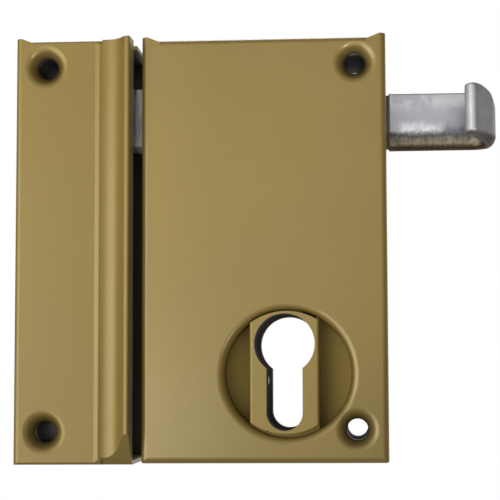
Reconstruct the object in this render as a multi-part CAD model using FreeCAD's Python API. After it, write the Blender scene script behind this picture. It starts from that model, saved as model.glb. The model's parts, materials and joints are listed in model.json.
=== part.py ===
import FreeCAD, Part
import math
import os

# Upright rim lock with a pull, and its keeper.
# X runs from the keeper to the pull, Y into the door, Z up. The origin is the
# cylinder's axis on the door's face; the front of the case looks along -Y.

os.makedirs("parts", exist_ok=True)
V = FreeCAD.Vector

# Case: a folded steel box, open towards the door
case_height = 122.0
case_depth = 28.0
backset = 41.0              # cylinder axis to the face that the bolts leave
cylinder_to_pull_side = 29.5
case_below_opening = 9.15   # underside of the cylinder's opening to the underside of the case
sheet = 1.5
bend_radius = 1.8           # outside of each fold
corner_radius = 0.9         # lower corners, seen from the front
ear_height = 0.8            # how far the side folds stand above the top fold
ear_width = 1.7
ear_slope = 2.0             # from the ear down to the top fold
ear_run_out = 0.7           # how far the slope goes on below it
back_plate_thickness = 2.0

# Fits between pieces
fixed_gap = 0.05            # riveted, pressed or screwed
running_gap = 0.05          # a bore on its journal
slide_gap = 0.3             # a bolt in its window
side_gap = 0.15             # each side of a lever, a slot or a stud
rest_gap = 0.3              # a piece that rests on another without touching it

# Screw holes for the mounting screws, with pressed countersinks
screw_hole_radius = 3.0
countersink_radius = 5.3
countersink_depth = 2.6
countersink_lip = 2.2
sleeve_wall = 1.0
case_hole_inset = 8.9       # from the right side of the case
case_hole_below_top = 7.5
case_hole_above_bottom = 9.5
keeper_hole_inset = 9.0     # from the left side of the keeper
keeper_hole_below_top = 7.7
keeper_hole_above_bottom = 9.3

# Opening for the profile cylinder
cylinder_radius = 8.65
cylinder_stem_width = 10.3
cylinder_height = 33.3
cam_radius = 15.3           # circle swept by the cylinder's cam
cylinder_screw_radius = 2.8

# Round well in the front, and the guard that fills it
well_past_opening = 1.45    # radius of the well beyond half the opening's height
well_lip = 2.1
well_x = 1.0
well_below_middle = 0.45    # centre of the well below the middle of the opening
well_depth = 7.5
guard_gap = 0.1
guard_floor_depth = 2.4     # crescents above and below the bridge
guard_flange_width = 2.0
guard_flange_thickness = 1.5
bridge_half_width = 9.85
bridge_past_opening = 0.7
bridge_x = 0.5
bridge_below_middle = 0.1
bridge_below_front = 0.15
bridge_edge_radius = 0.7
scoop_depth = 7.0           # deepest, beside the bridge
scoop_rim_depth = 3.6       # where it runs out at the well's wall
scoop_bed_share = 0.45      # a point of its curved bed, as a share of the way to the wall
scoop_bed_depth = 6.0

# Latch, and the pull that is riveted to it
latch_below_top = 21.8
latch_height = 16.8
latch_depth = 5.0           # front of the latch behind the front of the case
latch_thickness = 14.5
latch_projection = 12.5
latch_length = 21.5
latch_nose = 3.5            # blunt part of the tip
latch_nose_radius = 0.8
latch_bevel_radius = 2.0
latch_travel = 12.5
strip_height = 15.8
strip_thickness = 3.5
pull_height = 17.0
pull_thickness = strip_thickness
pull_clearance = 1.0        # shoulder of the pull to the case
pull_reach = 32.3           # from the case to the outside of the hook
hook_lean = 38.0            # degrees that the tab leans back over the finger gap
hook_radius = 4.75          # of the middle of the strip
hook_tab = 9.35
hook_tip_rise = 2.7
hook_crown = 4.5            # the upper outer corner falls away from here to the outside
hook_crown_radius = 2.0
hook_shoulder_inset = 1.1
hook_shoulder_drop = 1.9
hook_shoulder_radius = 1.6
hook_cheek_drop = 6.6
hook_cheek_radius = 3.0
hook_low_radius = 2.4
tab_high_radius = 1.7
tab_low_radius = 1.0
pull_edge_radius = 2.6
pull_small_radius = 0.7
rivet_radius = 1.6

# Latch spring on its rod
spring_radius = 3.4
spring_wire = 0.9
spring_turns = 7
spring_steps = 12           # straight lengths that stand for one turn of the coil
spring_inset = 5.7          # spring axis behind the front of the latch
rod_radius = 1.9
rod_length = 42.0
rod_grip = 4.0
bracket_x = -8.0
bracket_foot = 10.0
bracket_height = 12.8
bracket_to_strip = 1.0

# Deadbolt
deadbolt_bottom = 14.0      # above the cylinder's axis
deadbolt_height = 28.0
deadbolt_thickness = 12.0
deadbolt_end_to_axis = 14.8 # head's inner end, clear of the cylinder's cam
deadbolt_recess = 0.2
deadbolt_throw = 10.0       # one turn of the key
deadbolt_turns = 2
deadbolt_edge_radius = 0.6
tail_thickness = 3.5
tail_clearance = -1.9       # lower edge of the tail against the cam's circle
tail_height = 19.6
tail_past_notch = 1.1
tail_lap = 11.2
tail_step = 4.6
tail_radius = 2.0
bolt_rivet_inset = 4.0
notch_width = 7.0
notch_taper = 0.8
notch_radius = 1.0
notch_depth = 3.5
guide_pin_x = -8.0
guide_pin_above_edge = 12.6
guide_pin_radius = 2.5
guide_collar_radius = 4.0
guide_pin_past_tail = 1.2
brake_thickness = 0.6
brake_width = 8.0
brake_foot = 10.0
brake_rise = 2.5            # foot above the line where the leaf bears
brake_toe = 2.0             # free end past the tail
brake_toe_rise = 1.5
brake_radius = 1.5

# Lever by which the cylinder's cam draws the latch
pivot_x = 8.0
pivot_z = 14.0
lever_thickness = 3.0
lever_from_plate = 2.6
lever_hub_radius = 5.0
lever_fork_radius = 5.2
lever_fork_past_stud = 2.0
lever_slot_below_stud = 3.0
lever_slot_radius = 1.0
lever_arm_width = 6.5
lever_elbow = 13.8          # cylinder axis to the middle of the arm that passes beside it
lever_elbow_radius = 6.0
lever_foot_radius = 4.0
journal_radius = 2.5
pivot_rivet_radius = 1.95
pivot_shoulder = 1.0
pivot_head_radius = 4.0
pivot_head_thickness = 0.8
stud_radius = 2.0
follower_radius = 2.5
follower_x = -10.0
follower_z = -10.5
follower_reach = 13.0

# Posts and screws that hold the plates
post_radius = 3.0
post_inset = 6.5
right_post_z = 30.0
guard_post_radius = 2.5
guard_post_offset = 15.5    # from the middle of the well, to each side and down
guard_post_drop = 8.4
machine_screw_radius = 1.45
machine_screw_length = 9.0
machine_head_radius = 2.9
machine_head_height = 1.4
machine_slot_width = 0.8
machine_slot_depth = 0.7
head_below_face = 0.1

# Keeper: a folded box, open towards the case
keeper_gap = 2.6
keeper_width = 34.3
keeper_overhang = 0.3       # above and below the case
keeper_sheet = 1.2
keeper_plate_inset = 1.5
ridge_height = 4.1
ridge_lip = 5.6             # how far the mouth's edge turns back
ridge_peak_height = 5.6     # where flank and lip would meet if the crest weren't flattened
ridge_peak_from_edge = 0.2  # distances from the keeper's right side, seen from the front
valley_from_edge = 5.4
crease_from_edge = 9.6
flat_from_edge = 10.9
crease_height = 0.35
valley_depth = 0.6          # where the tangents of the curved flank meet
crease_radius = 0.5
valley_radius = 6.4
crest_radius = 1.2
mouth_radius = 0.5
ridge_end = 8.8             # width of the strip that the hip closes
hip_apex_above_bottom = 8.9
hip_foot_above_bottom = 1.9
hip_radius = 2.0
toe_start = 3.4             # bulge of the hip's lower edge, from the keeper's right side
toe_drop = 0.6
toe_radius = 0.9
top_notch_depth = 7.3
keeper_post_from_edge = 13.6
keeper_post_inset = 4.6

case_left = -backset
case_right = cylinder_to_pull_side
opening_bottom = cylinder_radius - cylinder_height
opening_middle = cylinder_radius - cylinder_height / 2
case_bottom = opening_bottom - case_below_opening
case_top = case_bottom + case_height
front = -case_depth
inner_front = front + sheet
plate_front = -back_plate_thickness
past = 1.0                  # how far a cutting tool runs past the face it opens


def rounded_face(corners, place):
    """Face inside a closed outline of 2-D corners; a third number is that corner's radius."""
    edges = []
    last = None
    first = None
    count = len(corners)
    for i in range(count):
        here = V(corners[i][0], corners[i][1], 0)
        radius = corners[i][2] if len(corners[i]) > 2 else 0
        start = end = here
        if radius > 0:
            back = V(corners[i - 1][0], corners[i - 1][1], 0) - here
            ahead = V(corners[(i + 1) % count][0], corners[(i + 1) % count][1], 0) - here
            back.normalize()
            ahead.normalize()
            half = back.getAngle(ahead) / 2
            middle = (back + ahead).normalize()
            start = here + back * (radius / math.tan(half))
            end = here + ahead * (radius / math.tan(half))
            crown = here + middle * (radius / math.sin(half) - radius)
        if last is not None and last.distanceToPoint(start) > 1e-6:
            edges.append(Part.makeLine(place(last), place(start)))
        if radius > 0:
            edges.append(Part.Arc(place(start), place(crown), place(end)).toShape())
        if first is None:
            first = start
        last = end
    if last.distanceToPoint(first) > 1e-6:
        edges.append(Part.makeLine(place(last), place(first)))
    return Part.Face(Part.Wire(edges))


def prism_x(corners, low, high):
    """Solid whose Y-Z outline runs along X."""
    face = rounded_face(corners, lambda p: V(low, p.x, p.y))
    return face.extrude(V(high - low, 0, 0))


def prism_y(corners, low, high):
    """Solid whose X-Z outline runs along Y."""
    face = rounded_face(corners, lambda p: V(p.x, low, p.y))
    return face.extrude(V(0, high - low, 0))


def prism_z(corners, low, high):
    """Solid whose X-Y outline runs along Z."""
    face = rounded_face(corners, lambda p: V(p.x, p.y, low))
    return face.extrude(V(0, 0, high - low))


def rod_y(x, z, radius, low, high):
    """Round bar along Y."""
    return Part.makeCylinder(radius, high - low, V(x, low, z), V(0, 1, 0))


def rod_x(y, z, radius, low, high):
    """Round bar along X."""
    return Part.makeCylinder(radius, high - low, V(low, y, z), V(1, 0, 0))


def turned(corners, x, z):
    """Solid turned about a line along Y; the outline holds radius and Y."""
    face = rounded_face(corners, lambda p: V(x + p.x, p.y, z))
    return face.revolve(V(x, 0, z), V(0, 1, 0), 360)


def parallel(chain, distance):
    """Open chain of corners moved sideways, to its left if positive; radii follow."""
    moved = []
    for i, corner in enumerate(chain):
        here = V(corner[0], corner[1], 0)
        before = here - V(*chain[i - 1][:2], 0) if i > 0 else None
        after = V(*chain[i + 1][:2], 0) - here if i + 1 < len(chain) else None
        before = (before or after).normalize()
        after = (after or before).normalize()
        normals = V(-before.y, before.x, 0) + V(-after.y, after.x, 0)
        spot = here + normals * (distance / (1 + before.dot(after)))
        turn = before.cross(after).z
        radius = corner[2] if len(corner) > 2 else 0
        if radius > 0:
            radius = max(radius - math.copysign(distance, turn * distance), 0)
        moved.append((spot.x, spot.y, radius))
    return moved


def strip(chain, thickness, end_radius=0):
    """Closed outline of a bent strip about its middle line."""
    left = parallel(chain, thickness / 2)
    right = parallel(chain, -thickness / 2)
    left[-1] = (left[-1][0], left[-1][1], end_radius)
    right[-1] = (right[-1][0], right[-1][1], end_radius)
    return left + right[::-1]


def link(x1, z1, r1, x2, z2, r2, low, high):
    """Flat link along Y's thickness: two round ends joined by their common tangents."""
    span = math.hypot(x2 - x1, z2 - z1)
    along = math.atan2(z2 - z1, x2 - x1)
    tilt = math.acos((r1 - r2) / span)
    web = [(x1 + r1 * math.cos(along + tilt), z1 + r1 * math.sin(along + tilt)),
           (x2 + r2 * math.cos(along + tilt), z2 + r2 * math.sin(along + tilt)),
           (x2 + r2 * math.cos(along - tilt), z2 + r2 * math.sin(along - tilt)),
           (x1 + r1 * math.cos(along - tilt), z1 + r1 * math.sin(along - tilt))]
    ends = [rod_y(x1, z1, r1, low, high), rod_y(x2, z2, r2, low, high)]
    return prism_y(web, low, high).multiFuse(ends).removeSplitter()


def euro_profile(low, high):
    """Round hole with a narrower stem below it, as a profile cylinder needs."""
    half = cylinder_stem_width / 2
    foot = opening_bottom + half
    stem = prism_y([(-half, foot), (half, foot), (half, 0), (-half, 0)], low, high)
    ends = [rod_y(0, 0, cylinder_radius, low, high), rod_y(0, foot, half, low, high)]
    return stem.multiFuse(ends).removeSplitter()


def save(name, *solids):
    """One file for one sub-part, which may be several like solids."""
    shape = solids[0] if len(solids) == 1 else Part.makeCompound(list(solids))
    shape.exportStep("parts/" + name + ".step")


# Screw places
case_holes = [(case_right - case_hole_inset, case_top - case_hole_below_top),
              (case_right - case_hole_inset, case_bottom + case_hole_above_bottom)]
keeper_right = case_left - keeper_gap
keeper_left = keeper_right - keeper_width
keeper_top = case_top + keeper_overhang
keeper_bottom = case_bottom - keeper_overhang
keeper_holes = [(keeper_left + keeper_hole_inset, keeper_top - keeper_hole_below_top),
                (keeper_left + keeper_hole_inset, keeper_bottom + keeper_hole_above_bottom)]
countersink_end = front + countersink_depth
dimple_back = countersink_end + sheet


def dimple(x, z):
    """The sheet that a pressed countersink carries inwards."""
    root = inner_front - sheet / 2
    wide = countersink_radius + sheet / 2
    return turned([(0, root), (wide, root), (wide, inner_front),
                   (screw_hole_radius + sleeve_wall, dimple_back), (0, dimple_back)], x, z)


def countersink(x, z):
    """Countersink and screw hole, rounded where they leave the face."""
    wide = countersink_radius + countersink_lip + past
    return turned([(0, front - past), (wide, front - past), (wide, front),
                   (countersink_radius, front, countersink_lip), (screw_hole_radius, countersink_end),
                   (screw_hole_radius, dimple_back + past), (0, dimple_back + past)], x, z)


def sleeve(x, z):
    """Tube that takes the mounting screw's pull between the sheet and the plate."""
    outside = rod_y(x, z, screw_hole_radius + sleeve_wall, dimple_back, plate_front)
    return outside.cut(rod_y(x, z, screw_hole_radius, dimple_back, plate_front))


def ear(corner_x, inwards, top, low_y, plan, thickness):
    """End of a side fold, which stands above the top fold and slopes down into it."""
    shoulder = corner_x + inwards * ear_width
    foot = shoulder + inwards * ear_slope * (1 + ear_run_out / ear_height)
    outline = [(corner_x, top - thickness), (corner_x, top + ear_height),
               (shoulder, top + ear_height, ear_height), (foot, top - ear_run_out), (foot, top - thickness)]
    return prism_y(outline, low_y, 0).common(prism_z(plan, top - thickness, top + ear_height))


# Case cover
latch_z = case_top - latch_below_top
latch_low = latch_z - latch_height / 2
latch_high = latch_z + latch_height / 2
latch_front = front + latch_depth
latch_back = latch_front + latch_thickness
strip_back = latch_back
strip_front = strip_back - strip_thickness
strip_low = latch_z - strip_height / 2
strip_high = latch_z + strip_height / 2
deadbolt_back = latch_back
deadbolt_front = deadbolt_back - deadbolt_thickness
deadbolt_top = deadbolt_bottom + deadbolt_height
well_radius = cylinder_height / 2 + well_past_opening
well_z = opening_middle - well_below_middle
well_back = front + well_depth
cylinder_screw_y = front / 2
cylinder_screw_z = opening_bottom + cylinder_stem_width / 2


def case_plan(back):
    """Front and side folds seen from above, from the left side round to the right."""
    return [(case_left, back), (case_left, front, bend_radius), (case_right, front, bend_radius),
            (case_right, back)]


def case_side(back):
    """Front, top and bottom folds seen from the side, from the top down."""
    return [(back, case_top), (front, case_top, bend_radius), (front, case_bottom, bend_radius),
            (back, case_bottom)]


def window_x(low_y, high_y, low_z, high_z, gap, low_x, high_x):
    """Cutter for an opening along X, larger all round than what passes through it."""
    return prism_x([(low_y - gap, low_z - gap), (high_y + gap, low_z - gap), (high_y + gap, high_z + gap),
                    (low_y - gap, high_z + gap)], low_x, high_x)


case_front_outline = prism_y([(case_left, case_bottom, corner_radius),
                              (case_right, case_bottom, corner_radius), (case_right, case_top),
                              (case_left, case_top)], front - past, past)
case_outside = prism_z(case_plan(0), case_bottom, case_top)
case_outside = case_outside.common(prism_x(case_side(0), case_left, case_right)).common(case_front_outline)
case_inside = prism_z(parallel(case_plan(past), sheet), case_bottom, case_top)
case_inside = case_inside.common(prism_x(parallel(case_side(past), sheet), case_left, case_right))
case_cover = case_outside.cut(case_inside)
ears = [ear(case_left, 1, case_top, front, case_plan(0), sheet),
        ear(case_right, -1, case_top, front, case_plan(0), sheet)]
case_cover = case_cover.multiFuse(ears + [dimple(x, z) for x, z in case_holes])
collar = rod_y(well_x, well_z, well_radius + sheet, inner_front - sheet / 2, well_back)
case_cover = case_cover.fuse(collar)
well_mouth = turned([(0, front - past), (well_radius + well_lip + past, front - past),
                     (well_radius + well_lip + past, front), (well_radius, front, well_lip),
                     (well_radius, well_back + past), (0, well_back + past)], well_x, well_z)
left_wall = (case_left - past, case_left + sheet + past)
right_wall = (case_right - sheet - past, case_right + past)
windows = [window_x(latch_front, latch_back, latch_low, latch_high, slide_gap, *left_wall),
           window_x(deadbolt_front, deadbolt_back, deadbolt_bottom, deadbolt_top, slide_gap, *left_wall),
           window_x(strip_front, strip_back, strip_low, strip_high, slide_gap, *right_wall),
           rod_x(cylinder_screw_y, cylinder_screw_z, cylinder_screw_radius, *left_wall)]
case_cover = case_cover.cut([countersink(x, z) for x, z in case_holes] + [well_mouth] + windows)
save("case_cover", case_cover.removeSplitter())

# Cylinder guard: a die-cast disc with two finger scoops beside the bridge
guard_radius = well_radius - guard_gap
guard_back = well_back + guard_flange_thickness
guard_floor = front + guard_floor_depth
guard_flange_radius = well_radius + guard_flange_width
bridge_top = front + bridge_below_front
guard = rod_y(well_x, well_z, guard_radius, guard_floor, guard_back)
guard = guard.fuse(rod_y(well_x, well_z, guard_flange_radius, well_back, guard_back))
for side in (-1, 1):
    rim = well_x + side * (well_radius + past)
    edge = side * bridge_half_width
    deep = (edge, front + scoop_depth)
    bed = (edge + (rim - edge) * scoop_bed_share, front + scoop_bed_depth)
    shore = (rim, front + scoop_rim_depth)
    low, high = well_z - guard_radius - past, well_z + guard_radius + past
    corners = [V(edge, front - past, low), V(*deep, low), V(*shore, low), V(rim, front - past, low)]
    scoop = Part.Wire([Part.makeLine(corners[0], corners[1]),
                       Part.Arc(corners[1], V(*bed, low), corners[2]).toShape(),
                       Part.makeLine(corners[2], corners[3]), Part.makeLine(corners[3], corners[0])])
    guard = guard.cut(Part.Face(scoop).extrude(V(0, 0, high - low)))
bridge_ends = rod_y(bridge_x, opening_middle - bridge_below_middle, cylinder_height / 2 + bridge_past_opening,
                    bridge_top, guard_back)
bridge = prism_z([(-bridge_half_width, guard_back), (-bridge_half_width, bridge_top, bridge_edge_radius),
                  (bridge_half_width, bridge_top, bridge_edge_radius), (bridge_half_width, guard_back)],
                 well_z - guard_radius, well_z + guard_radius).common(bridge_ends)
guard = guard.fuse(bridge).cut(euro_profile(front - past, past))
save("cylinder_guard", guard.removeSplitter())

# Back plate, its posts and screws, the screw sleeves and the guard's posts
plate_left = case_left + sheet + fixed_gap
plate_right = case_right - sheet - fixed_gap
plate_bottom = case_bottom + sheet + fixed_gap
plate_top = case_top - sheet - fixed_gap
posts = [(case_left + post_inset, case_top - post_inset), (case_left + post_inset, case_bottom + post_inset),
         (case_right - post_inset, right_post_z)]
guard_posts = [(well_x + side * guard_post_offset, well_z - guard_post_drop) for side in (-1, 1)]


def machine_screw(x, z):
    """Slotted countersunk screw, driven from the door's side."""
    face = -head_below_face
    end = face - machine_screw_length
    screw = turned([(0, face), (machine_head_radius, face),
                    (machine_screw_radius, face - machine_head_height), (machine_screw_radius, end),
                    (0, end)], x, z)
    slot = prism_y([(x - machine_head_radius, z - machine_slot_width / 2),
                    (x + machine_head_radius, z - machine_slot_width / 2),
                    (x + machine_head_radius, z + machine_slot_width / 2),
                    (x - machine_head_radius, z + machine_slot_width / 2)], face - machine_slot_depth, past)
    return screw.cut(slot)


def screw_seat(x, z):
    """Countersunk hole that a machine screw's head lies in."""
    wide = machine_head_radius + fixed_gap
    shank = machine_screw_radius + fixed_gap
    return turned([(0, past), (wide, past), (wide, -head_below_face),
                   (shank, -head_below_face - machine_head_height), (shank, plate_front - past),
                   (0, plate_front - past)], x, z)


def post(x, z, radius):
    """Post welded inside the front, tapped for a machine screw."""
    tapping = rod_y(x, z, machine_screw_radius + fixed_gap, -machine_screw_length - 2 * past, plate_front)
    return rod_y(x, z, radius, inner_front, plate_front).cut(tapping)


back_plate = prism_y([(plate_left, plate_bottom, corner_radius), (plate_right, plate_bottom, corner_radius),
                      (plate_right, plate_top, corner_radius), (plate_left, plate_top, corner_radius)],
                     plate_front, 0)
pivot_bore = rod_y(pivot_x, pivot_z, pivot_rivet_radius + fixed_gap, plate_front - past, past)
plate_bores = [rod_y(x, z, screw_hole_radius, plate_front - past, past) for x, z in case_holes]
back_plate = back_plate.cut([euro_profile(plate_front - past, past), pivot_bore] + plate_bores
                            + [screw_seat(x, z) for x, z in posts])
save("back_plate", back_plate)
save("cover_posts", *[post(x, z, post_radius) for x, z in posts])
save("back_plate_screws", *[machine_screw(x, z) for x, z in posts])
save("screw_sleeves", *[sleeve(x, z) for x, z in case_holes])
save("guard_posts", *[rod_y(x, z, guard_post_radius, guard_back, plate_front) for x, z in guard_posts])

# Latch bolt
latch_tip = case_left - latch_projection
latch_end = latch_tip + latch_length
latch_step = case_left + sheet
bevel_start = case_left - slide_gap
latch_bolt = prism_z([(latch_tip, latch_front, latch_nose_radius), (latch_end, latch_front),
                      (latch_end, strip_front), (latch_step, strip_front), (latch_step, latch_back),
                      (bevel_start, latch_back, latch_bevel_radius),
                      (latch_tip, latch_front + latch_nose, latch_nose_radius)], latch_low, latch_high)
rivet_x = (latch_step + latch_end) / 2
rivet_places = [(rivet_x, latch_z + side * latch_height / 4) for side in (-1, 1)]
rod_y_place = latch_front + spring_inset
rod_start = latch_end - rod_grip
rivet_bores = [rod_y(x, z, rivet_radius + fixed_gap, latch_front - past, latch_back + past)
               for x, z in rivet_places]
latch_bolt = latch_bolt.cut(rivet_bores + [rod_x(rod_y_place, latch_z, rod_radius + fixed_gap, rod_start,
                                                 latch_end + past)])
save("latch_bolt", latch_bolt)
save("latch_rivets", *[rod_y(x, z, rivet_radius, latch_front, latch_back) for x, z in rivet_places])
save("spring_rod", rod_x(rod_y_place, latch_z, rod_radius, rod_start, rod_start + rod_length))

# Pull: a flat strip through the case, thicker outside and hooked for a finger
shoulder_x = case_right + pull_clearance
pull_middle_y = strip_back - pull_thickness / 2
bend_x = case_right + pull_reach - pull_thickness / 2 - hook_radius
bend_y = pull_middle_y - hook_radius
turn = math.radians(90 + hook_lean)
pull_low = latch_z - pull_height / 2
pull_high = latch_z + pull_height / 2


def on_bend(angle):
    """Point of the hook's middle line, by the angle turned since the straight part."""
    return V(bend_x + hook_radius * math.sin(angle), bend_y + hook_radius * math.cos(angle), latch_z)


tip = on_bend(turn) + V(math.cos(turn), -math.sin(turn), 0) * hook_tab
hook_path = Part.Wire([Part.makeLine(V(shoulder_x, pull_middle_y, latch_z), on_bend(0)),
                       Part.Arc(on_bend(0), on_bend(turn / 2), on_bend(turn)).toShape(),
                       Part.makeLine(on_bend(turn), tip)])
section = rounded_face([(strip_back - pull_thickness, pull_low, pull_edge_radius),
                        (strip_back, pull_low, pull_small_radius), (strip_back, pull_high, pull_small_radius),
                        (strip_back - pull_thickness, pull_high, pull_small_radius)],
                       lambda p: V(shoulder_x, p.x, p.y))
hook = hook_path.makePipeShell([section.OuterWire], True, False)
pull_right = case_right + pull_reach
tab_left = tip.x - pull_thickness / 2 * math.cos(math.radians(hook_lean))
hook_outline = [(pull_right, pull_low, hook_low_radius),
                (pull_right, pull_high - hook_cheek_drop, hook_cheek_radius),
                (pull_right - hook_shoulder_inset, pull_high - hook_shoulder_drop, hook_shoulder_radius),
                (pull_right - hook_crown, pull_high, hook_crown_radius)]
strip_outline = [(shoulder_x, pull_low)] + hook_outline + [(shoulder_x, pull_high)]
tab_outline = [(tab_left, pull_low, tab_low_radius)] + hook_outline + [(tab_left, pull_high, tab_high_radius)]
hook = hook.common(prism_y(strip_outline, bend_y, 0).fuse(prism_y(tab_outline, front - past, bend_y)))
tab_front = tip.y - pull_thickness
hook = hook.cut(prism_x([(bend_y, pull_low), (tab_front, pull_low + hook_tip_rise),
                         (tab_front, pull_low - past), (bend_y, pull_low - past)],
                        tab_left - past, pull_right + past))
neck = prism_x([(strip_front, strip_low), (strip_back, strip_low), (strip_back, strip_high),
                (strip_front, strip_high)], latch_step, shoulder_x)
lever_arm = latch_z - pivot_z
stud_x = pivot_x - latch_travel / 2
stud_bore = rod_y(stud_x, latch_z, stud_radius + fixed_gap, strip_front - past, strip_back + past)
pull_handle = neck.fuse(hook).cut(rivet_bores + [stud_bore])
save("pull_handle", pull_handle.removeSplitter())

# Lever, its pivot, its follower and the stud by which it draws the latch
lever_back = plate_front - lever_from_plate
lever_front = lever_back - lever_thickness
stud_reach = lever_back + rest_gap * 2
save("lever_stud", rod_y(stud_x, latch_z, stud_radius, strip_front, stud_reach))
arm_length = math.hypot(stud_x - pivot_x, lever_arm)
arm_dir = V((stud_x - pivot_x) / arm_length, 0, lever_arm / arm_length)
across = V(arm_dir.z, 0, -arm_dir.x)
fork_centre = V(pivot_x, 0, pivot_z) + arm_dir * (arm_length + lever_fork_past_stud)
lever = link(pivot_x, pivot_z, lever_hub_radius, fork_centre.x, fork_centre.z, lever_fork_radius, lever_front,
             lever_back)
arm = strip([(pivot_x, pivot_z), (-lever_elbow, pivot_z, lever_elbow_radius),
             (-lever_elbow, 0, lever_elbow_radius), (follower_x, follower_z)], lever_arm_width)
lever = lever.multiFuse([prism_y(arm, lever_front, lever_back),
                         rod_y(follower_x, follower_z, lever_foot_radius, lever_front, lever_back)])
slot_half = stud_radius + side_gap
slot_start = V(pivot_x, 0, pivot_z) + arm_dir * (arm_length - lever_slot_below_stud)
slot_end = fork_centre + arm_dir * (lever_fork_radius + past)
slot_corners = [slot_start + across * slot_half, slot_start - across * slot_half,
                slot_end - across * slot_half, slot_end + across * slot_half]
slot_cut = prism_y([(p.x, p.z, lever_slot_radius if i < 2 else 0) for i, p in enumerate(slot_corners)],
                   lever_front - past, lever_back + past)
lever = lever.cut([slot_cut, rod_y(pivot_x, pivot_z, journal_radius + running_gap, lever_front - past,
                                   lever_back + past),
                   rod_y(follower_x, follower_z, follower_radius + fixed_gap, lever_front - past,
                         lever_back + past)])
save("retract_lever", lever.removeSplitter())
save("cam_follower", rod_y(follower_x, follower_z, follower_radius, lever_back - follower_reach, lever_back))
shoulder_radius = journal_radius + pivot_shoulder
shoulder_end = lever_back + side_gap
head_start = lever_front - side_gap
head_end = head_start - pivot_head_thickness
save("lever_pivot", turned([(0, -head_below_face), (pivot_rivet_radius, -head_below_face),
                            (pivot_rivet_radius, plate_front), (shoulder_radius, plate_front),
                            (shoulder_radius, shoulder_end), (journal_radius, shoulder_end),
                            (journal_radius, head_start), (pivot_head_radius, head_start),
                            (pivot_head_radius, head_end), (0, head_end)], pivot_x, pivot_z))

# Latch spring and the bracket it pushes against
spring_start = latch_end + spring_wire / 2 + rest_gap
spring_end = bracket_x - spring_wire / 2 - fixed_gap
spring_pitch = (spring_end - spring_start) / spring_turns


def spring_section(step):
    """Six-sided section of the wire at one step of its coil."""
    angle = 2 * math.pi * step / spring_steps
    outwards = V(0, math.sin(angle), math.cos(angle))
    advance = spring_pitch * step / spring_steps
    middle = V(spring_start + advance, rod_y_place, latch_z) + outwards * spring_radius
    corners = [middle + outwards * (spring_wire / 2 * math.cos(i * math.pi / 3))
               + V(spring_wire / 2 * math.sin(i * math.pi / 3), 0, 0) for i in range(6)]
    return Part.makePolygon(corners + corners[:1])


sections = [spring_section(i) for i in range(spring_turns * spring_steps + 1)]
save("latch_spring", Part.makeLoft(sections, True, True))
bracket_low = latch_z - bracket_height / 2
bracket_high = latch_z + bracket_height / 2
bracket_y = inner_front + sheet / 2
bracket = strip([(bracket_x + bracket_foot, bracket_y), (bracket_x + sheet / 2, bracket_y, sheet),
                 (bracket_x + sheet / 2, strip_front - bracket_to_strip)], sheet)
bracket = prism_z(bracket, bracket_low, bracket_high)
bracket = bracket.cut(rod_x(rod_y_place, latch_z, rod_radius + slide_gap, bracket_x - past,
                            bracket_x + sheet + past))
save("spring_bracket", bracket)

# Deadbolt: a solid head riveted to a notched tail
throw = deadbolt_throw * deadbolt_turns
head_left = case_left + deadbolt_recess
head_right = -deadbolt_end_to_axis
tail_front = (deadbolt_front + deadbolt_back - tail_thickness) / 2
tail_back = tail_front + tail_thickness
tail_left = head_right - tail_lap
tail_end = (deadbolt_turns - 0.5) * deadbolt_throw + notch_width / 2 + tail_past_notch
tail_bottom = cam_radius + tail_clearance
tail_top = tail_bottom + tail_height
lap_bottom = tail_bottom + tail_step
head = prism_z([(head_left, deadbolt_front, deadbolt_edge_radius), (head_right, deadbolt_front),
                (head_right, deadbolt_back), (head_left, deadbolt_back, deadbolt_edge_radius)],
               deadbolt_bottom, deadbolt_top)
tail_slot = prism_x([(tail_front, lap_bottom), (tail_back, lap_bottom), (tail_back, deadbolt_top + past),
                     (tail_front, deadbolt_top + past)], tail_left, head_right + past)
bolt_rivets = [((tail_left + head_right) / 2, lap_bottom + bolt_rivet_inset),
               ((tail_left + head_right) / 2, tail_top - bolt_rivet_inset)]
bolt_bores = [rod_y(x, z, rivet_radius + fixed_gap, deadbolt_front - past, deadbolt_back + past)
              for x, z in bolt_rivets]
save("deadbolt_head", head.cut([tail_slot] + bolt_bores))
save("deadbolt_rivets", *[rod_y(x, z, rivet_radius, deadbolt_front, deadbolt_back) for x, z in bolt_rivets])
guide_z = tail_bottom + guide_pin_above_edge
outline = [(tail_left, lap_bottom), (head_right, lap_bottom), (head_right, tail_bottom)]
for i in range(deadbolt_turns):
    middle = (i + 0.5) * deadbolt_throw
    mouth = notch_width / 2
    bed = mouth - notch_taper
    notch_top = tail_bottom + notch_depth
    outline += [(middle - mouth, tail_bottom), (middle - bed, notch_top, notch_radius),
                (middle + bed, notch_top, notch_radius), (middle + mouth, tail_bottom)]
outline += [(tail_end, tail_bottom, notch_radius), (tail_end, tail_top, tail_radius), (tail_left, tail_top)]
tail = prism_y(outline, tail_front, tail_back)
slot_radius = guide_pin_radius + side_gap
guide_slot = link(guide_pin_x, guide_z, slot_radius, guide_pin_x + throw, guide_z, slot_radius,
                  tail_front - past, tail_back + past)
save("deadbolt_tail", tail.cut([guide_slot] + bolt_bores))
collar_end = tail_front - rest_gap
pin_end = tail_back + guide_pin_past_tail
save("bolt_guide_pin", turned([(0, inner_front), (guide_collar_radius, inner_front),
                               (guide_collar_radius, collar_end), (guide_pin_radius, collar_end),
                               (guide_pin_radius, pin_end), (0, pin_end)],
                              guide_pin_x, guide_z))
contact_z = tail_top + rest_gap + brake_thickness / 2
foot_y = inner_front + brake_thickness / 2
brake = strip([(foot_y, contact_z + brake_rise + brake_foot), (foot_y, contact_z + brake_rise, brake_radius),
               ((tail_front + tail_back) / 2, contact_z, brake_radius),
               (tail_back + brake_toe, contact_z + brake_toe_rise)], brake_thickness)
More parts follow.
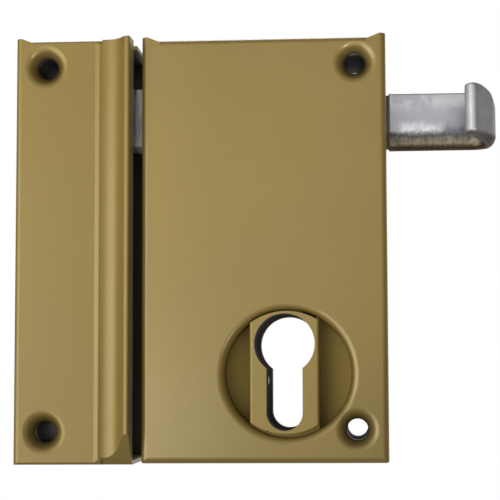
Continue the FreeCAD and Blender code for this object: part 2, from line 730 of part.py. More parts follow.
save("bolt_brake_spring", prism_x(brake, 0, brake_width))


# Keeper cover: front with a crease and a raised ridge along the mouth
crest_y = front - ridge_height
ridge_peak = (keeper_right - ridge_peak_from_edge, front - ridge_peak_height)
valley = (keeper_right - valley_from_edge, front + valley_depth, valley_radius)
lip_end = (keeper_right, crest_y + ridge_lip)


def at_crest(foot):
    """Point of the line from a foot to the ridge's peak at the height of the crest."""
    share = (crest_y - foot[1]) / (ridge_peak[1] - foot[1])
    return foot[0] + (ridge_peak[0] - foot[0]) * share


def keeper_plan(back, ridge):
    """Left side, front, crease, curved flank, ridge and turned-back lip, seen from above."""
    flat = [(keeper_left, back), (keeper_left, front, bend_radius), (keeper_right - flat_from_edge, front)]
    crease = (keeper_right - crease_from_edge, front - crease_height, crease_radius)
    return flat + [crease, valley] + ridge + [lip_end]


def keeper_flat_side(back):
    """Front, top and bottom of the flat part, seen from the side, from the top down."""
    return [(back, keeper_top), (front - crease_height, keeper_top, bend_radius),
            (front - crease_height, keeper_bottom, bend_radius), (back, keeper_bottom)]


hip_apex = keeper_bottom + hip_apex_above_bottom
hip_foot = keeper_bottom + hip_foot_above_bottom


def keeper_ridge_side(back):
    """Ridge from the side, from the top down: open above, closed by a sloping hip below."""
    return [(back, keeper_top + past), (crest_y - past, keeper_top + past), (crest_y - past, hip_apex + past),
            (crest_y, hip_apex, hip_radius), (front, hip_foot, hip_radius),
            (front + bend_radius, keeper_bottom), (back, keeper_bottom)]


ridge_start = keeper_right - ridge_end
over = keeper_left - past
flat_crest = [(at_crest(valley), crest_y, crest_radius), (at_crest(lip_end), crest_y, mouth_radius)]
outside_plan = keeper_plan(0, flat_crest) + [(keeper_right, 0)]
keeper_body = prism_z(outside_plan, keeper_bottom, keeper_top)
flat_part = prism_x(keeper_flat_side(0), over, ridge_start)
ridge_part = prism_x(keeper_ridge_side(0), ridge_start, keeper_right + past)
keeper_outside = keeper_body.common(flat_part.fuse(ridge_part))
toe_bottom = keeper_bottom - toe_drop
toe = prism_y([(keeper_right - toe_start, keeper_bottom),
               (keeper_right - toe_start / 2, toe_bottom, toe_radius),
               (keeper_right, toe_bottom, toe_radius), (keeper_right, keeper_bottom)],
              front + bend_radius, front + top_notch_depth)
inner_plan = parallel(keeper_plan(past, [ridge_peak]), keeper_sheet)
inner_plan[-1] = (inner_plan[-1][0], lip_end[1])
inner_plan += [(keeper_right + past, lip_end[1]), (keeper_right + past, past)]
inner_body = prism_z(inner_plan, keeper_bottom - past, keeper_top + past)
flat_inner = prism_x(parallel(keeper_flat_side(past), keeper_sheet), over, ridge_start)
ridge_inner_side = parallel(keeper_ridge_side(past), keeper_sheet)
notch_y = front + top_notch_depth
ridge_inner_side[0:3] = [(past, keeper_top - keeper_sheet), (notch_y, keeper_top - keeper_sheet),
                         (notch_y, keeper_top + past), (crest_y - 2 * past, keeper_top + past),
                         (crest_y - 2 * past, hip_apex + past)]
ridge_inner = prism_x(ridge_inner_side, ridge_start, keeper_right + 2 * past)
keeper_cover = keeper_outside.cut(inner_body.common(flat_inner.fuse(ridge_inner))).fuse(toe)
keeper_ear = ear(keeper_left, 1, keeper_top, front, outside_plan, keeper_sheet)
keeper_cover = keeper_cover.multiFuse([keeper_ear] + [dimple(x, z) for x, z in keeper_holes])
keeper_cover = keeper_cover.cut([countersink(x, z) for x, z in keeper_holes])
save("keeper_cover", keeper_cover.removeSplitter())

# Keeper plate, posts, screws and sleeves
keeper_posts = [(keeper_right - keeper_post_from_edge, keeper_top - keeper_post_inset),
                (keeper_right - keeper_post_from_edge, keeper_bottom + keeper_post_inset)]
keeper_margin = keeper_sheet + fixed_gap
keeper_plate = prism_y([(keeper_left + keeper_margin, keeper_bottom + keeper_margin),
                        (keeper_right - keeper_plate_inset, keeper_bottom + keeper_margin),
                        (keeper_right - keeper_plate_inset, keeper_top - keeper_margin),
                        (keeper_left + keeper_margin, keeper_top - keeper_margin)], plate_front, 0)
keeper_bores = [rod_y(x, z, screw_hole_radius, plate_front - past, past) for x, z in keeper_holes]
keeper_plate = keeper_plate.cut(keeper_bores + [screw_seat(x, z) for x, z in keeper_posts])
save("keeper_plate", keeper_plate)
save("keeper_posts", *[post(x, z, guard_post_radius) for x, z in keeper_posts])
save("keeper_screws", *[machine_screw(x, z) for x, z in keeper_posts])
save("keeper_sleeves", *[sleeve(x, z) for x, z in keeper_holes])
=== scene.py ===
import json
import math

import bpy
import numpy as np
from mathutils import Matrix, Vector


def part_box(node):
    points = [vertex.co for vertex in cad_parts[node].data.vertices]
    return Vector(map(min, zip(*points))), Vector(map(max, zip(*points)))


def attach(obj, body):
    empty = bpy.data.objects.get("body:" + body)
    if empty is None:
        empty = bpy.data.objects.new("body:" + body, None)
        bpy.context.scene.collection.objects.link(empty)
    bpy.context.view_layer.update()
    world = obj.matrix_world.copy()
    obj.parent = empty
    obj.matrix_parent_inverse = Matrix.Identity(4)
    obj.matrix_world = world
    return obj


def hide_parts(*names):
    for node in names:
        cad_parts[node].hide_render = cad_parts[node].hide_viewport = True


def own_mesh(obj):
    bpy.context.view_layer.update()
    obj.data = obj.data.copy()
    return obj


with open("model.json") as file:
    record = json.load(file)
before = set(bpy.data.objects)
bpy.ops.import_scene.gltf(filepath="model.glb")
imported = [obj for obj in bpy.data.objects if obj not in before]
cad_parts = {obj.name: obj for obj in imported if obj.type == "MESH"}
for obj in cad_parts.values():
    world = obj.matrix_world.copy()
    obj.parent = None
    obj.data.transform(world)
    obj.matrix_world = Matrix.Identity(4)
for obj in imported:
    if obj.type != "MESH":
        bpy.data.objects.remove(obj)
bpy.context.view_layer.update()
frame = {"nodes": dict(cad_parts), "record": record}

# Floor: a round sheet of pale paper under the lock, which hangs free above it.
# It runs out into the white of the studio, so that no edge shows, and it is
# clear from below, so that the lock can be looked at from there too.


def skinned(name, rings, start_face=True):
    """Piece whose skin joins closed rings of points, with a flat face at either end.

    Each ring runs counterclockwise as seen from the next one, so that the skin faces outwards.
    """
    rows, around = rings.shape[:2]
    index = np.arange(rows * around).reshape(rows, around)
    beside = np.roll(index, -1, 1)
    faces = np.stack([index[:-1], beside[:-1], beside[1:], index[1:]], -1).reshape(-1, 4).tolist()
    if start_face:
        faces.append(index[0][::-1].tolist())
    faces.append(index[-1].tolist())
    mesh = bpy.data.meshes.new(name)
    mesh.from_pydata(rings.reshape(-1, 3).tolist(), [], faces)
    mesh.shade_smooth()
    piece = bpy.data.objects.new(name, mesh)
    bpy.context.collection.objects.link(piece)
    return piece


def start_material(name):
    """Empty node material with a surface shader; gives the tree, the shader and object coordinates."""
    material = bpy.data.materials.new(name)
    material.use_nodes = True
    tree = material.node_tree
    tree.nodes.clear()
    output = tree.nodes.new("ShaderNodeOutputMaterial")
    shader = tree.nodes.new("ShaderNodeBsdfPrincipled")
    tree.links.new(shader.outputs["BSDF"], output.inputs["Surface"])
    coords = tree.nodes.new("ShaderNodeTexCoord").outputs["Object"]
    return material, tree, shader, coords


def join(tree, source, node, socket):
    """Link an output to a named or numbered input."""
    tree.links.new(source, node.inputs[socket])


def noise(tree, coords, scale, detail=3.0, stretch=(1, 1, 1)):
    """Noise in object space, in cells per metre; stretch divides the scale along each axis."""
    mapping = tree.nodes.new("ShaderNodeMapping")
    mapping.inputs["Scale"].default_value = [1 / s for s in stretch]
    texture = tree.nodes.new("ShaderNodeTexNoise")
    texture.inputs["Scale"].default_value = scale
    texture.inputs["Detail"].default_value = detail
    join(tree, coords, mapping, "Vector")
    join(tree, mapping.outputs["Vector"], texture, "Vector")
    return texture.outputs["Fac"]


def ramp(tree, source, stops):
    """Colours or greys laid out along a value between 0 and 1."""
    node = tree.nodes.new("ShaderNodeValToRGB")
    while len(node.color_ramp.elements) < len(stops):
        node.color_ramp.elements.new(0.5)
    for element, (place, colour) in zip(node.color_ramp.elements, stops):
        element.position = place
        element.color = colour if isinstance(colour, tuple) else (colour, colour, colour, 1)
    join(tree, source, node, "Fac")
    return node.outputs["Color"]


def mapped(tree, source, start, end, lowest=0.0):
    """A value's way from start to end, laid out from the lowest result to 1 and held beyond both."""
    node = tree.nodes.new("ShaderNodeMapRange")
    node.inputs["From Min"].default_value = start
    node.inputs["From Max"].default_value = end
    node.inputs["To Min"].default_value = lowest
    join(tree, source, node, "Value")
    return node.outputs["Result"]


def vector_step(tree, operation, source, constant=(0, 0, 0)):
    """One step of arithmetic on a vector and a constant one; only MULTIPLY, by parts, gives a vector."""
    node = tree.nodes.new("ShaderNodeVectorMath")
    node.operation = operation
    node.inputs[1].default_value = constant
    join(tree, source, node, 0)
    return node.outputs["Vector" if operation == "MULTIPLY" else "Value"]


def blended(tree, share, first, second):
    """Mix of two shaders by a value."""
    node = tree.nodes.new("ShaderNodeMixShader")
    for socket, source in enumerate((share, first, second)):
        join(tree, source, node, socket)
    return node.outputs["Shader"]


floor_height = -0.09
floor_radius = 0.34
middle_share = 0.02         # the middle face takes this share of the radius
floor_rings, floor_spokes = 12, 64
paper_start, paper_end = 0.14, 0.33     # the paper fades over these distances from the origin
paper_glow = 0.45           # share of white in the paper before it fades
# From the rim inwards, so that the sheet faces up
reach, turned = np.meshgrid(floor_radius * np.linspace(1, middle_share, floor_rings),
                            np.arange(floor_spokes) * 2 * math.pi / floor_spokes, indexing="ij")
floor_points = [reach * np.cos(turned), reach * np.sin(turned), np.full_like(reach, floor_height)]
floor = skinned("floor", np.stack(floor_points, -1), start_face=False)
paper, tree, shader, coords = start_material("paper")
shader.inputs["Roughness"].default_value = 0.9
join(tree, ramp(tree, noise(tree, coords, 300), [(0.3, 0.80), (0.7, 0.86)]), shader, "Base Color")
glow = tree.nodes.new("ShaderNodeEmission")
glow.inputs["Color"].default_value = (1, 1, 1, 1)
fade = mapped(tree, vector_step(tree, "LENGTH", coords), paper_start, paper_end, paper_glow)
from_above = blended(tree, fade, shader.outputs["BSDF"], glow.outputs["Emission"])
underside = tree.nodes.new("ShaderNodeNewGeometry").outputs["Backfacing"]
clear = tree.nodes.new("ShaderNodeBsdfTransparent").outputs["BSDF"]
join(tree, blended(tree, underside, from_above, clear), tree.nodes["Material Output"], "Surface")
floor.data.materials.append(paper)
floor.visible_glossy = False

# Studio: white where the camera looks past the lock, also in the metal as far as it
# lies behind. Else a room that is light in front and behind and dim in between, and
# four soft lamps.


def linear(red, green, blue):
    """Linear colour of an 8-bit display colour."""
    parts = [c / 255 for c in (red, green, blue)]
    return tuple(c / 12.92 if c <= 0.04045 else ((c + 0.055) / 1.055) ** 2.4 for c in parts) + (1.0,)


def arithmetic(tree, operation, first, second=0.0):
    """One step of arithmetic on values; each side is a number or an output."""
    node = tree.nodes.new("ShaderNodeMath")
    node.operation = operation
    for socket, source in enumerate((first, second)):
        if isinstance(source, (int, float)):
            node.inputs[socket].default_value = source
        else:
            join(tree, source, node, socket)
    return node.outputs[0]


world = bpy.data.worlds.new("studio")
bpy.context.scene.world = world
world.use_nodes = True
tree = world.node_tree
tree.nodes.clear()
output = tree.nodes.new("ShaderNodeOutputWorld")
room = tree.nodes.new("ShaderNodeBackground")
white = tree.nodes.new("ShaderNodeBackground")
white.inputs["Color"].default_value = (1, 1, 1, 1)
direction = tree.nodes.new("ShaderNodeTexCoord").outputs["Generated"]
lit_side = (-0.42, -0.88, 0.22)     # the room is lightest this way
facing = mapped(tree, vector_step(tree, "DOT_PRODUCT", direction, lit_side), -1, 1)
room_tones = [(0.05, linear(216, 215, 212)), (0.13, linear(168, 167, 165)), (0.20, linear(126, 125, 123)),
              (0.45, linear(82, 78, 72)), (0.80, linear(146, 145, 142)), (0.93, linear(232, 232, 232))]
join(tree, ramp(tree, facing, room_tones), room, "Color")
room.inputs["Strength"].default_value = 0.85
behind_lock = mapped(tree, facing, 0.14, 0.04)
light_path = tree.nodes.new("ShaderNodeLightPath").outputs
mirrored = arithmetic(tree, "MAXIMUM", light_path["Is Glossy Ray"], light_path["Is Transmission Ray"])
mirrored = arithmetic(tree, "MULTIPLY", mirrored, behind_lock)
seen_white = arithmetic(tree, "MAXIMUM", light_path["Is Camera Ray"], mirrored)
studio = blended(tree, seen_white, room.outputs["Background"], white.outputs["Background"])
join(tree, studio, output, "Surface")
lamp_colour = (1.0, 0.99, 0.97)


def lamp(name, place, target, size, power):
    """Square soft lamp that looks at a target."""
    data = bpy.data.lights.new(name, "AREA")
    data.size = size
    data.energy = power
    data.color = lamp_colour
    light = bpy.data.objects.new(name, data)
    light.location = place
    light.rotation_euler = (Vector(target) - Vector(place)).to_track_quat("-Z", "Y").to_euler()
    bpy.context.collection.objects.link(light)


# The low lamp stands where the case's lower left mirrors it, and gives the haze there
lamp("lamp_left", (-0.85, -1.05, -0.20), (-0.02, 0, 0.02), 1.10, 10.6)
lamp("lamp_low", (-0.21, -1.00, -0.07), (-0.03, 0, -0.01), 0.14, 0.21)
lamp("lamp_top", (0.0, 0.55, 0.75), (-0.01, -0.01, 0.03), 0.50, 2.0)
lamp("lamp_right", (0.30, -0.66, -0.24), (0, 0, 0.03), 0.12, 1.7)

# Camera: in front, to the right of the cylinder and below its axis, turned a
# little left and up, with a long lens and a slight shift that frames the lock.
bpy.context.scene.view_settings.view_transform = "Standard"
camera_place = (0.02296, -0.37957, -0.00907)
turned_left, tilted_up, rolled = (math.radians(degrees) for degrees in (3.222, 3.826, -0.304))
camera_data = bpy.data.cameras.new("camera")
camera_data.lens = 89.49
camera_data.sensor_width = 36
camera_data.shift_x = -0.09
camera_data.shift_y = 0.085
camera_data.clip_start = 0.01
camera = bpy.data.objects.new("camera", camera_data)
camera.matrix_world = (Matrix.Translation(camera_place) @ Matrix.Rotation(turned_left, 4, "Z")
                       @ Matrix.Rotation(math.pi / 2 + tilted_up, 4, "X") @ Matrix.Rotation(rolled, 4, "Z"))
bpy.context.collection.objects.link(camera)
bpy.context.scene.camera = camera

# Sheet-steel housings of case and keeper with their plates: cut, folded and
# pressed, then sprayed with a fine satin bronze lacquer.


def bump(tree, source, shader, distance):
    """Relief from a value; the distance is the height in metres that a value of 1 stands for."""
    node = tree.nodes.new("ShaderNodeBump")
    node.inputs["Distance"].default_value = distance
    node.inputs["Strength"].default_value = 1.0
    join(tree, source, node, "Height")
    join(tree, node.outputs["Normal"], shader, "Normal")


def mixed(tree, share, first, second):
    """Blend of two colours by a value; each colour is a tuple or an output."""
    node = tree.nodes.new("ShaderNodeMix")
    node.data_type = "RGBA"
    join(tree, share, node, "Factor")
    for source, colour_socket in ((first, 6), (second, 7)):
        if isinstance(source, tuple):
            node.inputs[colour_socket].default_value = source
        else:
            join(tree, source, node, colour_socket)
    return node.outputs[2]


def separated(tree, coords):
    """X, Y and Z of the coordinates as three outputs."""
    node = tree.nodes.new("ShaderNodeSeparateXYZ")
    join(tree, coords, node, "Vector")
    return node.outputs


def within(tree, place, low, high):
    """1 inside a box, else 0; takes the separated coordinates."""
    result = 1.0
    for axis, least, most in zip("XYZ", low, high):
        above = arithmetic(tree, "GREATER_THAN", place[axis], least)
        below = arithmetic(tree, "LESS_THAN", place[axis], most)
        result = arithmetic(tree, "MULTIPLY", result, arithmetic(tree, "MULTIPLY", above, below))
    return result


def near_holes(tree, coords, mounts, inner, outer):
    """1 at the edges of the screw holes, falling to 0 at the outer radius.

    The distance is taken in the plane of the front, to the nearest hole's axis.
    """
    flat = vector_step(tree, "MULTIPLY", coords, (1, 0, 1))
    nearest = 1.0
    for mount in mounts:
        x, _, middle = mount["pos_m"]
        for side in (-0.5, 0.5):
            axis = (x, 0, middle + side * mount["dims"]["spacing_y_mm"] / 1000)
            nearest = arithmetic(tree, "MINIMUM", nearest, vector_step(tree, "DISTANCE", flat, axis))
    return mapped(tree, nearest, outer, inner)


def coat(material, *names):
    """Give CAD nodes a material."""
    for name in names:
        for slot in frame["nodes"][name].material_slots:
            slot.material = material


def lacquered(name, node, bulge, lean, gloss):
    """Bronze lacquer whose relief leans and bulges over a pressed panel, and a bare inside painted dark as
    shade.

    The relief falls by the lean along X. It also falls by the fourth power of the way from the
    panel's middle to its edges, times the bulge as a share of the panel's width or height.
    """
    material, tree, shader, coords = start_material(name)
    low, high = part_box(node)
    place = separated(tree, coords)
    dome = arithmetic(tree, "MULTIPLY", place["X"], -lean)
    for number, axis in ((0, "X"), (2, "Z")):
        width = high[number] - low[number]
        from_middle = arithmetic(tree, "SUBTRACT", place[axis], (low[number] + high[number]) / 2)
        share = arithmetic(tree, "ABSOLUTE", arithmetic(tree, "DIVIDE", from_middle, width / 2))
        fall = arithmetic(tree, "MULTIPLY", arithmetic(tree, "POWER", share, 4.0), width * bulge)
        dome = arithmetic(tree, "SUBTRACT", dome, fall)
    grain = noise(tree, coords, grain_scale, 2.0)
    cloud = noise(tree, coords, cloud_scale, 4.0)
    colour = ramp(tree, grain, [(0.30, lacquer_dark), (0.70, lacquer_light)])
    colour = mixed(tree, ramp(tree, cloud, [(0.35, 0.0), (0.70, 0.30)]), colour, lacquer_pale)
    # Painted shade in the countersinks round the screw holes, darkest at the hole's edge
    holes = near_holes(tree, coords, screw_mounts, hole_edge, dimple_edge)
    colour = mixed(tree, ramp(tree, holes, [(0.0, 0.0), (0.55, 0.45), (1.0, 0.95)]), colour, countersink_shade)
    # The inside is bare sheet, painted dark as shade
    inside = within(tree, place, (low[0] + skin, case_front + press_depth, low[2] + skin),
                    (high[0] - skin, high[1] - hem, high[2] - skin))
    join(tree, mixed(tree, inside, colour, bare_shaded_inside), shader, "Base Color")
    shader.inputs["Metallic"].default_value = 0.45
    shader.inputs["Coat Weight"].default_value = gloss
    shader.inputs["Coat Roughness"].default_value = 0.21
    join(tree, ramp(tree, cloud, [(0.30, 0.45), (0.75, 0.51)]), shader, "Roughness")
    relief = arithmetic(tree, "ADD", dome, arithmetic(tree, "MULTIPLY", grain, grain_height))
    bump(tree, relief, shader, 1.0)
    return material


grain_scale = 3400
cloud_scale = 45
grain_height = 0.000006
lacquer_dark = (0.268, 0.188, 0.041, 1)
lacquer_light = (0.318, 0.224, 0.055, 1)
lacquer_pale = (0.33, 0.235, 0.066, 1)
countersink_shade = (0.035, 0.016, 0.006, 1)
bare_shaded_inside = (0.12, 0.10, 0.078, 1)
skin = 0.0012               # just under the sheet, so that only its inner side is left bare and painted dark as shade
press_depth = 0.0046        # the bare inside, painted dark as shade, starts below the pressed countersinks
hem = 0.0002                # the open edge at the back keeps its lacquer
screw_mounts = [mount for mount in frame["record"]["mounts"] if mount["kind"] == "bolt_pattern"]
dark_ring = 0.0022          # width of the ring of painted shade round a screw hole, in its countersink
hole_edge = screw_mounts[0]["dims"]["hole_r_mm"] / 1000
dimple_edge = hole_edge + dark_ring
case_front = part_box("case_cover")[0][1]
case_lacquer = lacquered("case_lacquer", "case_cover", bulge=0.009, lean=0.0, gloss=0.75)
coat(case_lacquer, "case_cover", "back_plate")
keeper_lacquer = lacquered("keeper_lacquer", "keeper_cover", bulge=0.001, lean=0.070, gloss=0.35)
coat(keeper_lacquer, "keeper_cover", "keeper_plate")

# Guard: a zinc die casting, sprayed after it was set into the well. Its scoops are
# duller and darkened a little as painted shade; the opening's walls are painted near-black as shade.
guard_lacquer, tree, shader, coords = start_material("guard_lacquer")
place = separated(tree, coords)
guard_low, guard_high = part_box("cylinder_guard")
bridge_face = guard_low[1]
bridge_edge = 0.0006        # the bridge's colour reaches this far down its flanks
scoop_depth = 0.0030        # from this depth on the scoops have their own roughness and a colour darkened as painted shade
bore_radius = frame["record"]["mounts"][0]["dims"]["r_mm"] / 1000
stem_half = 0.00515
opening_bottom = -0.02465
rim = 0.0003                # what lies this near to the opening's outline is its wall
round_reach = bore_radius + rim
stem_reach = stem_half + rim / 2
stem_bottom = opening_bottom - rim
wall_front, wall_back = bridge_face + 2 * rim, guard_high[1] + rim
shaded_walls = (0.008, 0.008, 0.009, 1)
grain = noise(tree, coords, grain_scale, 2.0)
bridge_colour = ramp(tree, grain, [(0.30, (0.300, 0.218, 0.062, 1)), (0.70, (0.355, 0.258, 0.080, 1))])
# Scoops a little darker than the bridge: painted shade
scoop_shaded_colour = ramp(tree, grain, [(0.30, (0.262, 0.186, 0.048, 1)), (0.70, (0.300, 0.213, 0.060, 1))])
scoops = mapped(tree, place["Y"], bridge_face + bridge_edge, bridge_face + scoop_depth)
# Painted shade: the walls of the opening are near-black
round_walls = within(tree, place, (-round_reach, wall_front, -round_reach),
                     (round_reach, wall_back, round_reach))
stem_walls = within(tree, place, (-stem_reach, wall_front, stem_bottom), (stem_reach, wall_back, 0))
walls = arithmetic(tree, "MAXIMUM", round_walls, stem_walls)
sprayed = mixed(tree, scoops, bridge_colour, scoop_shaded_colour)
join(tree, mixed(tree, walls, sprayed, shaded_walls), shader, "Base Color")
shader.inputs["Metallic"].default_value = 0.5
join(tree, ramp(tree, scoops, [(0.0, 0.45), (1.0, 0.85)]), shader, "Roughness")
bump(tree, grain, shader, grain_height)
coat(guard_lacquer, "cylinder_guard")

# Pull: a flat bar of steel, bent round and drawn up to a hook, with its edges
# broken and its lower front edge well rounded. Satin nickel plating, with a painted
# highlight band low on part of the front, painted shade beside it, and a painted brown reflection below.


def bar_rings(middle, normal, outer, inner, low, high, corners, facets):
    """Rings of a bar of rounded section along a path, each of four corner arcs.

    Each arc's centre lies its own radius in from both sides, and its points stand off by the radius
    times the cosine of the angle across the bar and the sine of the angle up the bar.
    """
    arcs = []
    for quarter, (side, top, radius) in enumerate(zip((1, -1, -1, 1), (1, 1, -1, -1), corners)):
        angles = (quarter + np.linspace(0, 1, facets)) * math.pi / 2
        reach = side * ((outer if side > 0 else inner) - radius)
        level = high - radius if top > 0 else low + radius
        arcs.append(np.stack([reach[:, None] + radius[:, None] * np.cos(angles),
                              level[:, None] + radius[:, None] * np.sin(angles)], -1))
    across, up = np.moveaxis(np.concatenate(arcs, 1), -1, 0)
    flat = middle[:, None, :] + normal[:, None, :] * across[..., None]
    return np.concatenate([flat, up[..., None]], -1)


pull_low, pull_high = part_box("pull_handle")
thickness = 0.0035
shoulder_gap = 0.001        # between the case's side and the shoulder
shoulder_rise = 0.0006      # the bar is this much higher outside the case, above and below
shoulder_length = 0.0005    # and rises over this length, by a quarter of a circle
bend_radius = 0.00475       # of the middle of the bar
bend_turn = math.radians(128)
tab_length = 0.00935
outer_nose, inner_nose = 0.0017, 0.0005     # the hook's end is rounded over these lengths
nose_end = 0.9999           # share of that length, just short of the point where both sides would meet
nose_inset = 0.0010         # its edges draw in by this much above and below
corner_ways = (-0.0045, -0.0011, 0.0)       # the upper outer corner falls away towards the outside
corner_falls = (0.0, 0.0019, 0.0066)
corner_blend = 0.0009
low_corner = 0.0024         # radius of the lower outer corner
tip_rise = 0.0027           # the lower edge climbs towards the hook's end
tip_power = 1.3
arc_facets = 9
tightest = 0.95             # largest share of the room that a corner's radius takes
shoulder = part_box("case_cover")[1][0] + shoulder_gap
bar_y = pull_high[1] - thickness / 2
bend_x = pull_high[0] - thickness / 2 - bend_radius
bend_y = bar_y - bend_radius

# Distances along the bar, closest together at the shoulder and at the nose
to_shoulder = shoulder - pull_low[0]
to_bend = bend_x - pull_low[0]
bend_length = bend_radius * bend_turn
to_tab = to_bend + bend_length
full = to_tab + tab_length
to_nose = full - outer_nose
way = np.concatenate([
    [0, to_shoulder - 0.0004],                                      # inside the case
    to_shoulder + np.linspace(-0.00005, 0.0007, 6),                 # the shoulder
    np.linspace(to_shoulder + 0.002, to_bend, 12),                  # the straight part
    to_bend + bend_length * np.linspace(0.03, 1, 40),               # the bend
    to_nose - (to_nose - to_tab) * np.linspace(0.9, 0.05, 9),       # the tab
    full - outer_nose * (1 - np.sin(np.linspace(0, 0.985, 24) * math.pi / 2)),
])

# The path runs straight, round the bend and straight again; normal points to the bar's outer side
angle = np.clip((way - to_bend) / bend_radius, 0, bend_turn)
on_tab = np.maximum(way - to_tab, 0)
path_x = pull_low[0] + np.minimum(way, to_bend) + bend_radius * np.sin(angle) + on_tab * np.cos(angle)
path_y = bar_y - bend_radius * (1 - np.cos(angle)) - on_tab * np.sin(angle)
middle = np.stack([path_x, path_y], -1)
normal = np.stack([np.sin(angle), np.cos(angle)], -1)

# Half the thickness on either side of the path: a quarter of an ellipse over the nose
outer, inner = (thickness / 2 * np.sqrt(1 - np.clip((way - full + nose) / nose, 0, nose_end) ** 2)
                for nose in (outer_nose, inner_nose))
outside = np.clip((way - to_shoulder) / shoulder_length, 0, 1)
rise = shoulder_rise * np.sqrt(1 - (1 - outside) ** 2)
inset = nose_inset * (1 - outer / outer[0])
low_edge = pull_low[2] + shoulder_rise - rise + inset
high_edge = pull_high[2] - shoulder_rise + rise - inset

# Radii of the four corners, from the upper outer one round by the front; the lower front one is large
stations = [0, to_shoulder, to_shoulder + 0.001, to_bend, full]
small = np.interp(way, stations, [0.0002, 0.0002, 0.0007, 0.0008, 0.0012])
large = np.interp(way, stations, [0.0002, 0.0002, 0.0026, 0.0026, 0.0013])
front_room = np.where(way > to_bend, inner, thickness)
corners = [np.minimum(radius, room_left * tightest) for radius, room_left in
           ((small, outer), (small, inner), (large, front_room), (small, outer))]
rings = bar_rings(middle, normal, outer, inner, low_edge, high_edge, corners, arc_facets)

# The top falls away and the bottom climbs towards the outside; between them the shift fades evenly
from_side = rings[..., 0] - pull_high[0]
fall = np.mean([np.interp(from_side + shift, corner_ways, corner_falls)
                for shift in np.linspace(-corner_blend, corner_blend, 9)], 0)
climb = tip_rise * np.clip((bend_y - rings[..., 1]) / (bend_y - pull_low[1]), 0, 1) ** tip_power
climb += low_corner * (1 - np.sqrt(1 - np.clip(from_side / low_corner + 1, 0, 1) ** 2))
share = (rings[..., 2] - pull_low[2]) / (pull_high[2] - pull_low[2])
rings[..., 2] += climb * (1 - share) - fall * share
pull = skinned("pull", rings)

nickel, tree, shader, coords = start_material("nickel_plate")
place = separated(tree, coords)
level = mapped(tree, place["Z"], pull_low[2], pull_high[2])
streaks = noise(tree, coords, 1100, 4.0, (1, 1, 3))
patches = noise(tree, coords, 230, 3.0)
satin = noise(tree, coords, 1500, 2.0)
blotches = noise(tree, coords, 1300, 5.0, (1, 1, 2.2))
wander = arithmetic(tree, "MULTIPLY", arithmetic(tree, "SUBTRACT", streaks, 0.5), 0.15)
ragged = arithmetic(tree, "ADD", level, wander)
# Up the bar: a painted dark brown reflection along the lower edge, then a painted highlight band or painted
# shade, then the plating
low_brown_reflection = [(0.00, (0.16, 0.100, 0.060, 1)), (0.06, (0.25, 0.205, 0.140, 1)), (0.15, (0.33, 0.300, 0.215, 1)),
           (0.20, (0.27, 0.255, 0.220, 1)), (0.24, (0.15, 0.150, 0.155, 1))]
painted_highlight_band = [(0.305, (0.45, 0.46, 0.48, 1)), (0.345, (1.0, 1.0, 1.0, 1)), (0.42, (0.86, 0.87, 0.90, 1))]
shadow = [(0.36, (0.30, 0.30, 0.36, 1)), (0.43, (0.46, 0.47, 0.53, 1))]
bright = [(0.52, (0.54, 0.55, 0.60, 1)), (0.66, (0.60, 0.61, 0.65, 1)), (0.84, (0.80, 0.81, 0.83, 1)),
          (1.0, (0.68, 0.68, 0.70, 1))]
dull_plating = (0.55, 0.56, 0.60, 1)
shoulder_shade = (0.12, 0.10, 0.085, 1)
stain_brown = (0.085, 0.066, 0.042, 1)
low_reflection_brown = (0.13, 0.10, 0.08, 1)
# Along this stretch of the bar the band is a painted highlight; elsewhere it is painted shade
highlight_start, highlight_end, highlight_fade = shoulder + 0.0005, shoulder + 0.0175, 0.004
highlight_stretch = arithmetic(tree, "MULTIPLY", mapped(tree, place["X"], highlight_start, highlight_start + highlight_fade),
                    mapped(tree, place["X"], highlight_end, highlight_end - highlight_fade))
bar_colour = mixed(tree, highlight_stretch, ramp(tree, ragged, low_brown_reflection + shadow + bright),
                   ramp(tree, ragged, low_brown_reflection + painted_highlight_band + bright))
upper = ramp(tree, level, [(0.27, 0.0), (0.33, 1.0)])
dulled = arithmetic(tree, "MULTIPLY", upper, ramp(tree, patches, [(0.50, 0.0), (0.62, 0.75)]))
bar_colour = mixed(tree, dulled, bar_colour, dull_plating)
# Painted shade on the bar just outside the case's side
at_shoulder = mapped(tree, place["X"], shoulder + 0.0006, shoulder + 0.0002)
bar_colour = mixed(tree, at_shoulder, bar_colour, shoulder_shade)
stains = arithmetic(tree, "MULTIPLY", arithmetic(tree, "SUBTRACT", 1.0, upper),
                    ramp(tree, blotches, [(0.38, 0.0), (0.70, 0.70)]))
bar_colour = mixed(tree, stains, bar_colour, stain_brown)
hook_colour = ramp(tree, patches, [(0.35, (0.60, 0.60, 0.61, 1)), (0.65, (0.69, 0.69, 0.70, 1))])
# Painted dark brown reflection on the lower part of the hook
hook_low_reflection = ramp(tree, level, [(0.03, 1.0), (0.13, 0.75), (0.20, 0.0)])
hook_colour = mixed(tree, hook_low_reflection, hook_colour, low_reflection_brown)
on_bar = mapped(tree, place["Y"], bend_y - 0.001, bend_y + 0.003)
join(tree, mixed(tree, on_bar, hook_colour, bar_colour), shader, "Base Color")
shader.inputs["Metallic"].default_value = 1.0
polish = arithmetic(tree, "MULTIPLY", arithmetic(tree, "MULTIPLY", on_bar, upper), 0.24)
roughness = arithmetic(tree, "ADD", arithmetic(tree, "SUBTRACT", 0.54, polish),
                       arithmetic(tree, "MULTIPLY", satin, 0.06))
join(tree, roughness, shader, "Roughness")
bump(tree, satin, shader, 0.000003)
pull.data.materials.append(nickel)
coat(nickel, "pull_handle")
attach(pull, "latch")
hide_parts("pull_handle")

# Latch and deadbolt: solid steel bars, milled across their travel and plated,
# with dull smears where they have worn in their windows.


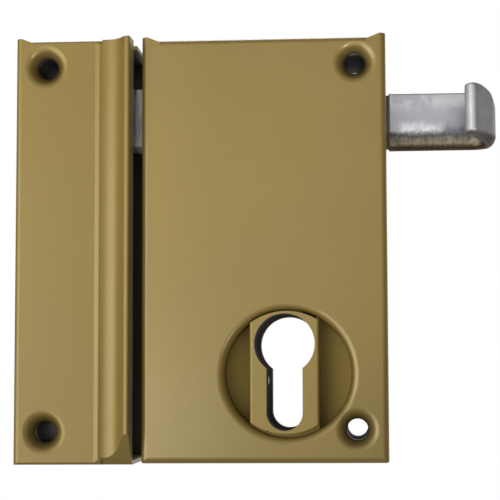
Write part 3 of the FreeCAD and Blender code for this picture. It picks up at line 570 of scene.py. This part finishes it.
def finish(tree, shader, relief, smoothest, roughest, height, metallic=1.0):
    """Share of metal, and a roughness that grows with the relief."""
    shader.inputs["Metallic"].default_value = metallic
    join(tree, ramp(tree, relief, [(0.3, smoothest), (0.7, roughest)]), shader, "Roughness")
    bump(tree, relief, shader, height)


bolt_steel, tree, shader, coords = start_material("bolt_steel")
milled = noise(tree, coords, 1400, 3.0, (1, 1, 14))
smear = noise(tree, coords, 120, 3.0)
steel = ramp(tree, milled, [(0.35, (0.20, 0.205, 0.21, 1)), (0.62, (0.54, 0.56, 0.54, 1))])
steel = mixed(tree, ramp(tree, smear, [(0.4, 0.0), (0.7, 0.5)]), steel, (0.30, 0.30, 0.31, 1))
join(tree, steel, shader, "Base Color")
finish(tree, shader, milled, 0.30, 0.46, 0.000008)
coat(bolt_steel, "latch_bolt", "latch_rivets", "deadbolt_head", "deadbolt_tail", "deadbolt_rivets")

# Small steel parts: lever, posts, pins and screws, most of them hidden inside.
# Punched or turned from steel, then zinc plated with a faint yellow bloom.
zinc, tree, shader, coords = start_material("zinc_steel")
bloom = noise(tree, coords, 160, 4.0)
plated = ramp(tree, bloom, [(0.30, (0.42, 0.41, 0.38, 1)), (0.70, (0.56, 0.54, 0.46, 1))])
join(tree, plated, shader, "Base Color")
finish(tree, shader, noise(tree, coords, 2200, 2.0), 0.30, 0.45, 0.000005)
coat(zinc, "retract_lever", "cam_follower", "lever_pivot", "lever_stud", "spring_rod", "spring_bracket",
     "bolt_guide_pin", "cover_posts", "guard_posts", "keeper_posts", "back_plate_screws", "keeper_screws")

# Springs: hardened steel left dark from its heat treatment and oiled.
# The latch's coil sits round the rod; the brake leaf bears on the deadbolt's tail.
spring_steel, tree, shader, coords = start_material("spring_steel")
heat = noise(tree, coords, 260, 3.0)
tempered = ramp(tree, heat, [(0.3, (0.09, 0.09, 0.11, 1)), (0.7, (0.19, 0.18, 0.20, 1))])
join(tree, tempered, shader, "Base Color")
finish(tree, shader, heat, 0.22, 0.36, 0.000004)
coat(spring_steel, "latch_spring", "bolt_brake_spring")
turns = 7
wire = 0.0009
facets_per_turn = 40
wire_facets = 12
coil_low, coil_high = (np.array(corner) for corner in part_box("latch_spring"))
coil_middle = (coil_low + coil_high) / 2
coil_radius = (coil_high[2] - coil_low[2] - wire) / 2
turned, round_wire = np.meshgrid(np.linspace(0, 1, turns * facets_per_turn + 1) * turns * 2 * math.pi,
                                 np.arange(wire_facets) * 2 * math.pi / wire_facets, indexing="ij")
# The wire's middle climbs evenly along X as it goes round. Its own circle lies in the
# plane through the coil's axis: the cosine of its angle leads outwards and the sine along X.
out = coil_radius + wire / 2 * np.cos(round_wire)
climbed = np.linspace(coil_low[0] + wire / 2, coil_high[0] - wire / 2, len(turned))[:, None]
coil_points = [climbed + wire / 2 * np.sin(round_wire), coil_middle[1] + out * np.sin(turned),
               coil_middle[2] + out * np.cos(turned)]
coil = skinned("latch_coil", np.stack(coil_points, -1))
coil.data.materials.append(spring_steel)
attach(coil, "case")
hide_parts("latch_spring")
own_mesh(coil)

# Screw sleeves: cut from steel tube and phosphated black, dull and slightly
# rough. They stand between front and plate and take the pull of the screws.
phosphate, tree, shader, coords = start_material("black_phosphate")
crystals = noise(tree, coords, 2600, 3.0)
blackened = ramp(tree, crystals, [(0.3, (0.010, 0.010, 0.012, 1)), (0.7, (0.022, 0.021, 0.022, 1))])
join(tree, blackened, shader, "Base Color")
shader.inputs["Specular IOR Level"].default_value = 0.3
finish(tree, shader, crystals, 0.62, 0.78, 0.000008, metallic=0.0)
coat(phosphate, "screw_sleeves", "keeper_sleeves")
